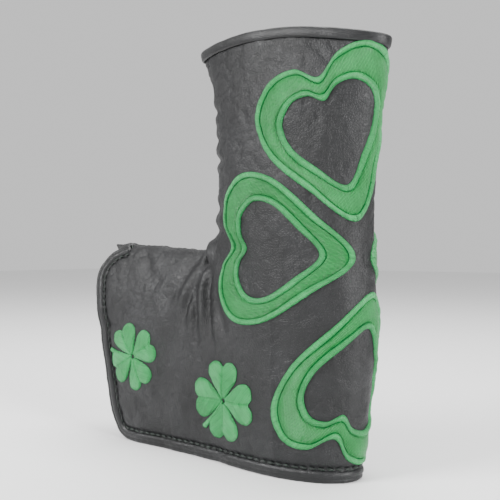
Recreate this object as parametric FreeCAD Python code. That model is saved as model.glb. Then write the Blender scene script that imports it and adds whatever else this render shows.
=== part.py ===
import FreeCAD, Part
import math
import os

# Boot-shaped cover for a blade putter head.
# The shaft leg stands at the heel (+X), the head pocket reaches to the toe (-X),
# the front face looks to -Y, and +Z is up. All sizes are in millimetres.

# ---------------------------------------------------------------- main sizes
TOTAL_HEIGHT = 206.0        # sole to the top of the mouth hem
FOOT_HEIGHT = 102.0         # sole to the top seam of the foot, beside the leg
TOE_RISE = 5.0              # the top seam rises this much towards the toe
TOE_TOP_REACH = 124.0       # leg axis to the toe, at the widest height
TOE_SOLE_REACH = 104.0      # leg axis to the toe, at the sole
TOE_CORNER_RADIUS = 20.0    # rounded corner between toe end and foot top
MOUTH_WIDTH = 111.0          # outside, over the leather
MOUTH_DEPTH = 32.0
MOUTH_HEEL_DROP = 11.0      # the hem is this much lower at the heel corner
MOUTH_TOE_DROP = 1.5        # and this much at the toe corner
LEG_WIDTH = 84.6            # outside, at the height of the foot top
LEG_DEPTH = 47.0
SOLE_LEG_WIDTH = 77.6
SOLE_LEG_DEPTH = 40.0
TOE_THICKNESS = 34.0        # outside thickness of the foot at the toe
FOOT_THICKNESS = 40.0       # outside thickness of the foot beside the leg

# ---------------------------------------------------------------- wall layers
LEATHER = 1.2
FOAM = 3.0
LINING = 1.2
WALL = LEATHER + FOAM + LINING
FLAP_FOAM = 1.5
FLAP_LINING = 0.7
FLAP_WALL = LEATHER + FLAP_FOAM + FLAP_LINING
TAPE = 0.8                  # thickness of the hook strip and of the loop strip
TAPE_GAP = 0.4              # clear space between hook strip and loop strip
TAB = 1.2                   # tab that carries the loop strip
HEM_DROP = 5.0              # depth of the turned mouth hem
FACING_DROP = 16.0          # depth of the facing inside the mouth
FACING = 0.8

# ---------------------------------------------------------------- sole and binding
BINDING_HEIGHT = 5.0
BINDING_PROUD = 1.1         # binding stands out beyond the leather
SOLE_LEATHER = 1.4
SOLE_BOARD = 2.0
SOLE_LIFT = 0.6             # sole leather is this far above the binding's underside

# ---------------------------------------------------------------- closure flap
HINGE_PLAN_ANGLE = 40.0     # plan direction of the fold, from +X towards +Y
FLAP_BOTTOM = 14.0          # lower edge of the flap above the sole
FLAP_EDGE_X = -24.0         # free edge of the flap, from the leg axis
FLAP_GAP = 0.5              # clear gap all round the flap
AXIS_STAND_OFF = 0.5        # fold axis outside the widest leather
FOLD_GAP = 0.12             # clear gap at the fold plane
TAPE_WIDTH = 20.0

# ---------------------------------------------------------------- thread work
FILL_PROUD = 1.3
EDGING_PROUD = 1.5
FILL_SEAT = 0.72            # gap under the flat fill band at its edges, over the curved leg
EDGING_SEAT = 0.3
CLOVER_PROUD = 1.0
EDGING_WIDTH = 3.0
FOLD_CLEAR = 1.8            # thread stops this far from the fold on each side
STITCH_LENGTH = 4.0
STITCH_PITCH = 6.2
STITCH_WIDTH = 0.9
STITCH_PROUD = 0.5

FAR = 400.0

os.makedirs("parts", exist_ok=True)


def vec(x, y, z):
    return FreeCAD.Vector(x, y, z)


# height, middle of the section along X, half width, half depth
def leg_sections():
    half_sole = SOLE_LEG_WIDTH / 2
    half_leg = LEG_WIDTH / 2
    half_mouth = MOUTH_WIDTH / 2
    foot = FOOT_HEIGHT
    rise = TOTAL_HEIGHT - FOOT_HEIGHT
    mid_depth = (LEG_DEPTH + SOLE_LEG_DEPTH) / 4
    return [
        (-12.0, -2.7, half_sole - 0.6, SOLE_LEG_DEPTH / 2 - 1.0),
        (0.0, -2.2, half_sole, SOLE_LEG_DEPTH / 2),
        (0.42 * foot, 1.5, 0.25 * half_sole + 0.75 * half_leg, mid_depth + 0.6),
        (foot, 1.2, half_leg, LEG_DEPTH / 2),
        (foot + 0.45 * rise, 1.8, half_leg + 1.4, LEG_DEPTH / 2 - 1.0),
        (foot + 0.8 * rise, 1.3, half_mouth - 6.5, MOUTH_DEPTH / 2 + 3.5),
        (TOTAL_HEIGHT, -0.5, half_mouth, MOUTH_DEPTH / 2),
        (TOTAL_HEIGHT + 12.0, -0.8, half_mouth + 2.0, MOUTH_DEPTH / 2 - 1.0),
    ]


def leg_at(height):
    rows = leg_sections()
    for low, high in zip(rows, rows[1:]):
        if height <= high[0]:
            t = (height - low[0]) / (high[0] - low[0])
            return [a + t * (b - a) for a, b in zip(low[1:], high[1:])]
    return list(rows[-1][1:])


def leg_form(inset):
    wires = []
    for height, middle, half_width, half_depth in leg_sections():
        ellipse = Part.Ellipse(vec(middle, 0, height), half_width - inset, half_depth - inset)
        wires.append(Part.Wire([ellipse.toShape()]))
    return Part.makeLoft(wires, True, False)


def foot_section(x, half_thickness, height, inset):
    t = half_thickness - inset
    top = height - inset
    rows = [
        (-0.72 * t, -10.0),
        (-0.80 * t, 0.0),
        (-t, 0.40 * height),
        (-0.95 * t, 0.66 * height),
        (-0.60 * t, 0.91 * top),
        (0.0, top),
    ]
    points = [vec(x, y, z) for y, z in rows]
    points += [vec(x, -y, z) for y, z in reversed(rows[:-1])]
    arch = Part.BSplineCurve()
    arch.interpolate(points)
    base = Part.makeLine(points[-1], points[0])
    return Part.Wire([arch.toShape(), base])


def foot_form(inset):
    stations = [
        (-TOE_TOP_REACH - 8, TOE_THICKNESS / 2 - 0.6, FOOT_HEIGHT + TOE_RISE),
        (-TOE_TOP_REACH * 0.7, (0.6 * TOE_THICKNESS + 0.4 * FOOT_THICKNESS) / 2, FOOT_HEIGHT + 0.7 * TOE_RISE),
        (-LEG_WIDTH / 2, FOOT_THICKNESS / 2, FOOT_HEIGHT),
        (2.0, FOOT_THICKNESS / 2 + 0.8, FOOT_HEIGHT),
    ]
    wires = [foot_section(x, t, h, inset) for x, t, h in stations]
    return Part.makeLoft(wires, True, False)


def side_outline(inset):
    # side view of the whole cover, without the arch of the mouth
    toe_height = FOOT_HEIGHT + TOE_RISE
    slope_top = toe_height - TOE_CORNER_RADIUS
    run = TOE_TOP_REACH - TOE_SOLE_REACH
    shift = inset * math.hypot(run, slope_top) / slope_top
    sole_x = -TOE_SOLE_REACH + shift - inset * run / slope_top
    corner_x = -TOE_TOP_REACH + shift
    top = toe_height - inset
    clear = toe_height + 16
    open_x = corner_x + 0.85 * TOE_CORNER_RADIUS + 6
    middle = vec(corner_x + 0.22 * TOE_CORNER_RADIUS, 0, slope_top + 0.72 * (top - slope_top))
    arc_end = vec(corner_x + 0.85 * TOE_CORNER_RADIUS, 0, top)
    corners = [
        arc_end,
        vec(open_x, 0, clear),
        vec(-60, 0, clear),
        vec(-60, 0, FAR),
        vec(120, 0, FAR),
        vec(120, 0, inset),
        vec(sole_x, 0, inset),
        vec(corner_x, 0, slope_top),
    ]
    edges = [Part.makeLine(a, b) for a, b in zip(corners, corners[1:])]
    edges.append(Part.Arc(vec(corner_x, 0, slope_top), middle, arc_end).toShape())
    face = Part.Face(Part.Wire(edges))
    face.translate(vec(0, -100, 0))
    return face.extrude(vec(0, 200, 0))


FORMS = {}


def form(inset):
    # the whole outside shape, moved inwards by the inset, still open-ended at sole and mouth
    key = round(inset, 3)
    if key not in FORMS:
        FORMS[key] = leg_form(inset).fuse(foot_form(inset))
    return FORMS[key].copy()


def shell(outer, inner):
    return form(outer).cut(form(inner))


def box(x0, x1, y0, y1, z0, z1):
    return Part.makeBox(x1 - x0, y1 - y0, z1 - z0, vec(x0, y0, z0))


def below_mouth(drop):
    # everything under the arched mouth line, lowered by the drop
    middle = leg_at(TOTAL_HEIGHT)[0]
    high = TOTAL_HEIGHT - drop
    low = high - MOUTH_HEEL_DROP - 6
    left = vec(middle - MOUTH_WIDTH / 2, -100, high - MOUTH_TOE_DROP)
    right = vec(middle + MOUTH_WIDTH / 2, -100, high - MOUTH_HEEL_DROP)
    top = vec(middle - 0.22 * MOUTH_WIDTH, -100, high)
    edges = [
        Part.Arc(left, top, right).toShape(),
        Part.makeLine(right, vec(150, -100, low)),
        Part.makeLine(vec(150, -100, low), vec(150, -100, -20)),
        Part.makeLine(vec(150, -100, -20), vec(-150, -100, -20)),
        Part.makeLine(vec(-150, -100, -20), vec(-150, -100, low)),
        Part.makeLine(vec(-150, -100, low), left),
    ]
    return Part.Face(Part.Wire(edges)).extrude(vec(0, 200, 0))


# ---------------------------------------------------------------- fold line of the flap
def fold_point(height):
    # outside of the leg in the fold plane
    middle, half_width, half_depth = leg_at(height)
    angle = math.radians(HINGE_PLAN_ANGLE)
    reach = 1 / math.hypot(math.cos(angle) / half_width, math.sin(angle) / half_depth)
    return middle + reach * math.cos(angle), reach * math.sin(angle)


def fold_axis():
    # straight line just outside the leather, tilted with the leg
    heights = [FLAP_BOTTOM + i * (TOTAL_HEIGHT - 8 - FLAP_BOTTOM) / 20 for i in range(21)]
    angle = math.radians(HINGE_PLAN_ANGLE)
    origin_x = leg_at(FOOT_HEIGHT)[0]
    reach = []
    for height in heights:
        x, y = fold_point(height)
        reach.append((x - origin_x) * math.cos(angle) + y * math.sin(angle))
    slope = (reach[-1] - reach[0]) / (heights[-1] - heights[0])
    start = max(r - slope * h for r, h in zip(reach, heights)) + AXIS_STAND_OFF
    foot = vec(origin_x + start * math.cos(angle), start * math.sin(angle), 0)
    direction = vec(slope * math.cos(angle), slope * math.sin(angle), 1)
    direction.normalize()
    return foot, direction


def flap_zone(edge_gap, bottom_gap, fold_gap):
    # plan region behind the fold plane, out to the free edge, as a tall prism
    angle = math.radians(HINGE_PLAN_ANGLE)
    origin_x = leg_at(FOOT_HEIGHT)[0]
    shift_x = -fold_gap * math.sin(angle)
    shift_y = fold_gap * math.cos(angle)
    near = vec(origin_x + 4 * math.cos(angle) + shift_x, 4 * math.sin(angle) + shift_y, 0)
    far = vec(origin_x + 90 * math.cos(angle) + shift_x, 90 * math.sin(angle) + shift_y, 0)
    edge_x = FLAP_EDGE_X + edge_gap
    points = [near, far, vec(edge_x, far.y, 0), vec(edge_x, near.y, 0), near]
    face = Part.Face(Part.makePolygon(points))
    face.translate(vec(0, 0, FLAP_BOTTOM + bottom_gap))
    return face.extrude(vec(0, 0, FAR))


def front_zone():
    return box(-150, 150, -100, 0, -20, FAR)


def heel_zone():
    # the part of the front piece that wraps round the heel, up to the fold,
    # with the low band that runs on under the flap
    wrap = box(FLAP_EDGE_X, 150, 0, 100, -20, FAR)
    return wrap.cut(flap_zone(0, 0, 0))


def rear_zone():
    return box(-150, FLAP_EDGE_X, 0, 100, -20, FAR)


# ---------------------------------------------------------------- outline helpers
def smooth_ring(points, count):
    curve = Part.BSplineCurve()
    curve.interpolate([vec(s, 0, z) for s, z in points], PeriodicFlag=True)
    first, last = curve.FirstParameter, curve.LastParameter
    ring = [curve.value(first + (last - first) * i / count) for i in range(count)]
    return [(p.x, p.z) for p in ring]


def heart(tip, notch, half_width, count=28):
    # heart outline from its tip to its notch, in girth and height
    ax, az = notch[0] - tip[0], notch[1] - tip[1]
    length = math.hypot(ax, az)
    ux, uz = ax / length, az / length
    rows = [(0.0, 0.0), (0.30, 0.50), (0.66, 0.94), (0.94, 0.98), (1.12, 0.68), (1.12, 0.30)]
    shape = [(along, wide) for along, wide in rows] + [(1.0, 0.0)]
    shape += [(along, -wide) for along, wide in reversed(rows[1:])]
    points = []
    for along, wide in shape:
        s = tip[0] + ux * along * length - uz * wide * half_width
        z = tip[1] + uz * along * length + ux * wide * half_width
        points.append((s, z))
    return smooth_ring(points, count)


def shrink(ring, width):
    # move every point of the outline inwards
    area = sum(a[0] * b[1] - b[0] * a[1] for a, b in zip(ring, ring[1:] + ring[:1]))
    sign = 1 if area > 0 else -1
    moved = []
    for before, here, after in zip(ring[-1:] + ring[:-1], ring, ring[1:] + ring[:1]):
        dx, dz = after[0] - before[0], after[1] - before[1]
        size = math.hypot(dx, dz) or 1.0
        moved.append((here[0] - sign * dz / size * width, here[1] + sign * dx / size * width))
    return moved


def leg_skin():
    # outside face of the leg; u runs round it from the heel edge, v runs up it
    faces = leg_form(0).Faces
    return max(faces, key=lambda face: face.Area).Surface


SKIN = leg_skin()
FOOT = foot_form(0)


def skin_point(girth, height, lift):
    # girth is measured round the leg from the heel edge, positive over the front
    u0, u1, v0, v1 = SKIN.bounds()
    for _ in range(30):
        v = (v0 + v1) / 2
        if SKIN.value(u0, v).z < height:
            v0 = v
        else:
            v1 = v
    step = (u1 - u0) / 400
    walk = -step if girth > 0 else step
    u = u1 if girth > 0 else u0
    left = abs(girth)
    here = SKIN.value(u, v)
    while left > 0:
        after = SKIN.value(u + walk, v)
        move = (after - here).Length
        if move > left:
            u += walk * left / move
            break
        left -= move
        u += walk
        here = after
    point = SKIN.value(u, v)
    normal = SKIN.normal(u, v)
    if normal.y * point.y + normal.x * point.x < 0:
        normal = normal * -1
    side = -1 if point.y < 0 else 1
    push = 0.0
    step = 1.6
    while step > 0.02 and point.x < -LEG_WIDTH / 8:
        while FOOT.isInside(point + vec(0, (push + step) * side, 0), 0.001, True):
            push += step
        step /= 2
    if push > 0:
        point = point + vec(0, push * side, 0)
    return point + normal * lift


def closed_curve(ring, lift):
    curve = Part.BSplineCurve()
    curve.interpolate([skin_point(s, z, lift) for s, z in ring], PeriodicFlag=True)
    return curve.toShape()


def thread_band(outer_ring, inner_ring, base, top):
    # flat band of thread lying on the leg between two outlines
    edges = [
        closed_curve(outer_ring, base),
        closed_curve(outer_ring, top),
        closed_curve(inner_ring, top),
        closed_curve(inner_ring, base),
    ]
    faces = [Part.makeRuledSurface(a, b) for a, b in zip(edges, edges[1:] + edges[:1])]
    skin = Part.Shell([f for face in faces for f in face.Faces])
    skin.sewShape()
    solid = Part.Solid(skin.Shells[0])
    solid.fix(0.01, 0.01, 0.01)
    if solid.Volume < 0:
        solid.reverse()
    return solid


def flat_prism(ring):
    points = [vec(x, -80, z) for x, z in ring]
    return Part.Face(Part.makePolygon(points + points[:1])).extrude(vec(0, 79, 0))


def tidy(shape):
    # plain solids only
    solids = [s for s in shape.Solids if s.Volume > 0.2]
    return solids[0] if len(solids) == 1 else Part.makeCompound(solids)


NODES = {}


def keep(name, shape):
    NODES[name] = tidy(shape)


# ---------------------------------------------------------------- build
outside = below_mouth(0)
under_hem = below_mouth(HEM_DROP)
under_facing = below_mouth(FACING_DROP)
inner_side = side_outline(BINDING_HEIGHT)
full_side = side_outline(0)
root_front = front_zone().fuse(heel_zone())
root_rear = rear_zone()
flap_clear = flap_zone(FLAP_GAP, FLAP_GAP, FOLD_GAP)

leather = shell(0, LEATHER)
foam = shell(LEATHER, LEATHER + FOAM)
lining = shell(LEATHER + FOAM, WALL)

for layer, name in ((leather, "panel"), (foam, "padding"), (lining, "lining")):
    wall = layer.common(under_hem).common(inner_side)
    keep("front_" + name, wall.common(root_front))
    keep("rear_" + name, wall.common(root_rear))

# flap layers
depth = 0.0
for thickness, name in ((LEATHER, "flap_panel"), (FLAP_FOAM, "flap_padding"), (FLAP_LINING, "flap_lining")):
    layer = shell(depth, depth + thickness)
    keep(name, layer.common(under_hem).common(flap_clear))
    depth += thickness

# turned hems with their facings
hem_wall = shell(0, WALL).common(outside).cut(under_hem)
facing = shell(WALL, WALL + FACING).common(outside).cut(under_facing)
hem = hem_wall.fuse(facing)
root_all = root_front.fuse(root_rear)
keep("mouth_hem", hem.common(root_all))
flap_hem = shell(0, FLAP_WALL).common(outside).cut(under_hem)
flap_facing = shell(FLAP_WALL, FLAP_WALL + FACING).common(outside).cut(under_facing)
keep("flap_hem", flap_hem.fuse(flap_facing).common(flap_clear))

# sole, toe end and binding
ring_zone = full_side.cut(inner_side)
edge_ring = shell(-BINDING_PROUD, WALL).common(ring_zone)
edge_ring = edge_ring.common(box(-150, 150, -100, 100, 0, FOOT_HEIGHT + TOE_RISE + 4))
keep("edge_binding", edge_ring)
core = form(WALL)
level = SOLE_LIFT
for thickness, name in ((SOLE_LEATHER, "sole_and_toe_gusset"), (SOLE_BOARD, "sole_board"), (LINING, "sole_lining")):
    band = side_outline(level).cut(side_outline(level + thickness))
    plate = core.common(band).common(box(-150, 150, -100, 100, 0, FOOT_HEIGHT + TOE_RISE + 4))
    if name == "sole_board":
        plate = plate.common(side_outline(level)).cut(box(-150, -TOE_SOLE_REACH + 6, -100, 100, -20, FAR))
        plate = plate.common(box(-150, 150, -100, 100, 0, 12))
    keep(name, plate)
    level += thickness

# closure tab with the loop strip, and the hook strip on the flap
tab_zone = box(FLAP_EDGE_X - 12, FLAP_EDGE_X + TAPE_WIDTH + 4, 0, 100, FLAP_BOTTOM + 6, FAR)
keep("closure_tab", shell(WALL, WALL + TAB).common(tab_zone).common(under_facing))
tape_low = FLAP_BOTTOM + 16
tape_high = TOTAL_HEIGHT - 26
tape_zone = box(FLAP_EDGE_X + 2, FLAP_EDGE_X + 2 + TAPE_WIDTH, 0, 100, tape_low, tape_high)
keep("loop_strip", shell(WALL - TAPE, WALL).common(tape_zone))
keep("hook_strip", shell(FLAP_WALL, FLAP_WALL + TAPE).common(tape_zone))

# ---------------------------------------------------------------- embroidery
# petals of the large four-leaf motif: tip, notch, half width, and the point the cone looks at
PETALS = {
    "upper_heart": ((8.0, 115.0), (29.0, 178.0), 34.0),
    "front_heart": ((9.0, 99.0), (73.0, 104.0), 35.0),
    "lower_heart": ((-1.0, 84.0), (15.0, 20.0), 33.0),
    "rear_heart": ((0.0, 99.0), (-60.0, 98.0), 32.0),
}
fold_cut = flap_zone(FLAP_GAP + 1.0, FLAP_GAP + 1.0, FOLD_CLEAR)
wrap_side = box(FLAP_EDGE_X, 150, 0, 100, -20, FAR).cut(flap_zone(0, 0, -FOLD_CLEAR))
root_side = front_zone().fuse(wrap_side)
BAND_WIDTH = 13.0           # whole width of a petal's thread band at its sides
OPEN_TIP = 0.25             # the bare middle starts this far from the tip
OPEN_NOTCH = 0.17           # and ends this far from the notch, as parts of the petal's length
THREAD_GAP = 0.15           # between edging and fill


def petal_bands(tip, notch, half_width):
    along = (notch[0] - tip[0], notch[1] - tip[1])
    low, high = OPEN_TIP, 1 - OPEN_NOTCH
    open_tip = (tip[0] + low * along[0], tip[1] + low * along[1])
    open_notch = (tip[0] + high * along[0], tip[1] + high * along[1])
    ring = heart(tip, notch, half_width)
    opening = heart(open_tip, open_notch, half_width - BAND_WIDTH)
    near = shrink(ring, EDGING_WIDTH)
    far = shrink(opening, -EDGING_WIDTH)
    outer = thread_band(ring, near, EDGING_SEAT, EDGING_PROUD)
    inner = thread_band(far, opening, EDGING_SEAT, EDGING_PROUD)
    fill = thread_band(shrink(near, THREAD_GAP), shrink(far, -THREAD_GAP), FILL_SEAT, FILL_PROUD)
    return fill, Part.makeCompound([outer, inner])


for name, (tip, notch, half_width) in PETALS.items():
    fill, edging = petal_bands(tip, notch, half_width)
    if name == "rear_heart":
        keep("rear_heart_fill", fill.common(fold_cut))
        keep("rear_heart_edging", edging.common(fold_cut))
        tips = [fill.common(root_side)] + [s.common(root_side) for s in edging.Solids]
        keep("rear_heart_tip", Part.makeCompound(tips))
    else:
        keep(name + "_fill", fill)
        keep(name + "_edging", edging)


def small_clover(centre_x, centre_z, turn, reach):
    parts = []
    for quarter in range(4):
        angle = math.radians(turn + 90 * quarter)
        dx, dz = math.cos(angle), math.sin(angle)
        tip = (centre_x + 1.2 * dx, centre_z + 1.2 * dz)
        notch = (centre_x + 0.84 * reach * dx, centre_z + 0.84 * reach * dz)
        parts.append(flat_prism(heart(tip, notch, 0.5 * reach)))
    angle = math.radians(turn + 45)
    dx, dz = math.cos(angle), math.sin(angle)
    stem = []
    for along, side in ((0, -0.6), (0.9, -0.6), (1.05, -1.3), (1.05, 1.3), (0.9, 0.6), (0, 0.6)):
        stem.append((centre_x + along * reach * dx - side * dz, centre_z + along * reach * dz + side * dx))
    parts.append(flat_prism(stem))
    motif = parts[0]
    for part in parts[1:]:
        motif = motif.fuse(part)
    return motif


foot_front = shell(-CLOVER_PROUD, 0).common(box(-150, 0, -100, -1, 0, FOOT_HEIGHT))
foot_front = foot_front.common(side_outline(BINDING_HEIGHT + 2.6))
keep("toe_clover", foot_front.common(small_clover(-89.0, 46.0, -30.0, 17.5)))
keep("middle_clover", foot_front.common(small_clover(-24.0, 31.0, -45.0, 19.0)))


# ---------------------------------------------------------------- stitching
def stitch_box(x, y, z, direction, length):
    # small block lying along the direction, centred on the point
    block = Part.makeBox(length, 12, STITCH_WIDTH, vec(-length / 2, -6, -STITCH_WIDTH / 2))
    turn = FreeCAD.Rotation(vec(1, 0, 0), direction)
    block.Placement = FreeCAD.Placement(vec(x, y, z), turn)
    return block


stitch_skin = shell(-STITCH_PROUD, 0)


def row_along_edge(side):
    # stitches beside the binding: up the toe end and along the sole
    inset = BINDING_HEIGHT + 1.5
    toe_height = FOOT_HEIGHT + TOE_RISE
    slope_top = toe_height - TOE_CORNER_RADIUS
    run = TOE_TOP_REACH - TOE_SOLE_REACH
    shift = inset * math.hypot(run, slope_top) / slope_top
    low = vec(-TOE_SOLE_REACH + shift - inset * run / slope_top, side * 12, inset)
    high = vec(-TOE_TOP_REACH + shift, side * 12, slope_top)
    blocks = []
    direction = (high - low).normalize()
    count = int((high - low).Length // STITCH_PITCH)
    for i in range(count):
        point = low + direction * (STITCH_PITCH * (i + 0.7))
        blocks.append(stitch_box(point.x, side * 14, point.z, direction, STITCH_LENGTH))
    x = low.x + STITCH_PITCH * 0.8
    while x < 26:
        blocks.append(stitch_box(x, side * 17, inset, vec(1, 0, 0), STITCH_LENGTH))
        x += STITCH_PITCH
    return blocks


stitches = []
for side in (-1, 1):
    stitches += row_along_edge(side)
keep("binding_stitches", stitch_skin.common(Part.makeCompound(stitches)))


def upright_row(skin, x, low, high):
    blocks = []
    z = low
    while z + STITCH_LENGTH < high:
        blocks.append(box(x - STITCH_WIDTH / 2, x + STITCH_WIDTH / 2, 2, 60, z, z + STITCH_LENGTH))
        z += STITCH_PITCH
    return skin.common(Part.makeCompound(blocks))


keep("flap_edge_stitches", upright_row(stitch_skin, FLAP_EDGE_X + 2.2, FLAP_BOTTOM + 5, TOTAL_HEIGHT - 20))

# ---------------------------------------------------------------- own frame
# the origin sits on the floor under the middle of the overall box
widest = ("edge_binding", "front_panel", "mouth_hem", "rear_heart_edging", "front_heart_edging")
boxes = [NODES[name].optimalBoundingBox(True, False) for name in widest]
mid_x = (min(b.XMin for b in boxes) + max(b.XMax for b in boxes)) / 2
mid_y = (min(b.YMin for b in boxes) + max(b.YMax for b in boxes)) / 2
shift = vec(-mid_x, -mid_y, 0)
axis_foot, axis_direction = fold_axis()
print("leg axis at", round(shift.x, 3), round(shift.y, 3))
print("fold passes", axis_foot + shift, "along", axis_direction)

for name in sorted(NODES):
    shape = NODES[name].copy()
    shape.translate(shift)
    print(name, len(shape.Solids), round(shape.Volume), shape.isValid())
    shape.exportStep("parts/" + name + ".step")
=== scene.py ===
import math

import bmesh
import bpy
import numpy as np
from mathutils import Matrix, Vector, noise
from mathutils.bvhtree import BVHTree


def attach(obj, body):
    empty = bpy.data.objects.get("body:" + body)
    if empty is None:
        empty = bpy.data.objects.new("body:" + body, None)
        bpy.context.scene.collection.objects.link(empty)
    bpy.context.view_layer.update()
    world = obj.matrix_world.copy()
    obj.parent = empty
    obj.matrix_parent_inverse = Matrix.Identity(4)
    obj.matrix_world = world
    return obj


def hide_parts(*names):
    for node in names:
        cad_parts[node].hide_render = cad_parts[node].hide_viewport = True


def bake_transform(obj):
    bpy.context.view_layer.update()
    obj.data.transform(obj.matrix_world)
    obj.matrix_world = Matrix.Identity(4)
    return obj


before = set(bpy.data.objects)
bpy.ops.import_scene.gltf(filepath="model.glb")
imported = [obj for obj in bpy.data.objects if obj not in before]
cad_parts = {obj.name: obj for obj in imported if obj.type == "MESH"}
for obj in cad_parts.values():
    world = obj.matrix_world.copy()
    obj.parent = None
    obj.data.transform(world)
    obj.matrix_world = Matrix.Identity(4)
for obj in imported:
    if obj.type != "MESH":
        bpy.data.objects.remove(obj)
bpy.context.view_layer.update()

# ------------------------------------------------------------------ sizes, in millimetres
# Working frame: the leg's axis is x = 0, then everything is moved to the CAD frame.
LEG_X = 35.77
LEG_Y = -0.055
TOTAL_HEIGHT = 206.0
FOOT_HEIGHT = 102.0
TOE_RISE = 5.0
TOE_TOP = 124.0
TOE_SOLE = 104.0
TOE_CORNER = 20.0
EDGE = 5.0
CELL = 1.0
FOLDS = 1.2
FLAP_EDGE_X = -24.0
FLAP_BOTTOM = 14.0
FOLD_ANGLE = math.radians(40.0)
FOLD_ORIGIN = 1.2

# height, middle, half width, half depth, roundness exponent of the section
LEG = np.array([
    (-12.0, -2.7, 38.2, 19.0, 2.0),
    (0.0, -2.2, 38.8, 20.0, 2.0),
    (42.8, 1.5, 41.4, 22.4, 2.05),
    (102.0, 1.2, 42.3, 23.5, 2.0),
    (148.8, 1.8, 43.7, 22.5, 1.95),
    (185.2, 1.3, 49.0, 19.5, 1.85),
    (206.0, -0.5, 55.5, 16.0, 1.7),
    (218.0, -0.8, 57.5, 15.0, 1.65),
])


def spline(xs, ys):
    # natural cubic spline through the rows
    n = len(xs)
    h = np.diff(xs)
    a = np.zeros((n, n))
    b = np.zeros(n)
    a[0, 0] = a[-1, -1] = 1.0
    for i in range(1, n - 1):
        a[i, i - 1:i + 2] = h[i - 1], 2 * (h[i - 1] + h[i]), h[i]
        b[i] = 6 * ((ys[i + 1] - ys[i]) / h[i] - (ys[i] - ys[i - 1]) / h[i - 1])
    m = np.linalg.solve(a, b)

    def value(x):
        x = np.clip(x, xs[0], xs[-1])
        i = np.clip(np.searchsorted(xs, x) - 1, 0, n - 2)
        t0, t1 = x - xs[i], xs[i + 1] - x
        return ((m[i] * t1 ** 3 + m[i + 1] * t0 ** 3) / (6 * h[i])
                + (ys[i] / h[i] - m[i] * h[i] / 6) * t1 + (ys[i + 1] / h[i] - m[i + 1] * h[i] / 6) * t0)
    return value


leg_mid, leg_a, leg_b, leg_n = (spline(LEG[:, 0], LEG[:, i]) for i in (1, 2, 3, 4))


def smooth_min(a, b, k):
    h = np.clip(0.5 + 0.5 * (b - a) / k, 0, 1)
    return b + (a - b) * h - k * h * (1 - h)


def toe_line(z):
    slope_top = FOOT_HEIGHT + TOE_RISE - TOE_CORNER
    return -TOE_SOLE - (TOE_TOP - TOE_SOLE) * np.clip(z, -20, slope_top) / slope_top


def foot_height(x):
    return np.interp(x, (-132, -87, -41, 2), (107, 105.5, 102, 102))


def foot_half(x):
    return np.interp(x, (-132, -87, -41, 2), (16.4, 18.2, 20.0, 20.8))


def leg_field(p):
    x, y, z = p[..., 0], p[..., 1], p[..., 2]
    a, b, n = leg_a(z), leg_b(z), leg_n(z)
    u, v = np.abs(x - leg_mid(z)) / a, np.abs(y) / b
    k = (u ** n + v ** n + 1e-9) ** (1 / n)
    r = np.sqrt((u * a) ** 2 + (v * b) ** 2) + 1e-6
    return (k - 1) * r / k * (0.55 + 0.45 * np.minimum(1, k * min(1, 0.6)))


def foot_field(p):
    x, y, z = p[..., 0], p[..., 1], p[..., 2]
    h, t = foot_height(x), foot_half(x)
    low = 0.4 * h
    taper = 1 - 0.2 * np.clip((low - z) / low, 0, 1.3) ** 2
    u = np.abs(y) / (t * taper)
    v = np.clip((z - low) / (h - low), 0, 3)
    k = np.sqrt(u ** 2 + v ** 2.6 + 1e-9)
    return (k - 1) * np.where(v > 0.75, 16.0, 17.0) + np.maximum(0, x - 6) * 1.2


def field(p):
    return smooth_min(leg_field(p), foot_field(p), 6.0)


def gradient(f, p, step=0.25):
    g = np.zeros_like(p)
    for i in range(3):
        e = np.zeros(3)
        e[i] = step
        g[..., i] = (f(p + e) - f(p - e)) / (2 * step)
    return g


def settle(f, p, rounds=3):
    # move points to the surface where f is nought
    for _ in range(rounds):
        g = gradient(f, p)
        p = p - g * (f(p) / (np.sum(g * g, -1) + 1e-9))[..., None]
    return p


def surface_net(f, low, high, cell):
    axes = [np.arange(a, b + cell, cell) for a, b in zip(low, high)]
    grid = np.stack(np.meshgrid(*axes, indexing="ij"), -1)
    value = f(grid)
    shape = np.array(value.shape) - 1
    inside = value < 0
    total = np.zeros((*shape, 3))
    count = np.zeros(shape)
    quads = []
    for axis in range(3):
        a = [slice(None)] * 3
        b = [slice(None)] * 3
        a[axis], b[axis] = slice(0, -1), slice(1, None)
        va, vb = value[tuple(a)], value[tuple(b)]
        cross = inside[tuple(a)] != inside[tuple(b)]
        index = np.argwhere(cross)
        t = va[cross] / (va[cross] - vb[cross])
        point = grid[tuple(index.T)].copy()
        point[:, axis] += t * cell
        o1, o2 = [i for i in range(3) if i != axis]
        corners = []
        for d1, d2 in ((0, 0), (-1, 0), (-1, -1), (0, -1)):
            c = index.copy()
            c[:, o1] += d1
            c[:, o2] += d2
            corners.append(c)
        ok = np.all([(c >= 0).all(1) & (c < shape).all(1) for c in corners], 0)
        corners = [c[ok] for c in corners]
        for c in corners:
            np.add.at(total, tuple(c.T), point[ok])
            np.add.at(count, tuple(c.T), 1)
        ids = np.stack([np.ravel_multi_index(tuple(c.T), shape) for c in corners], 1)
        flip = inside[tuple(index[ok].T)] ^ (axis == 1)
        ids[~flip] = ids[~flip][:, ::-1]
        quads.append(ids)
    quads = np.concatenate(quads)
    used, faces = np.unique(quads, return_inverse=True)
    faces = faces.reshape(-1, 4)
    verts = total.reshape(-1, 3)[used] / count.reshape(-1)[used][:, None]
    return verts, faces


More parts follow.
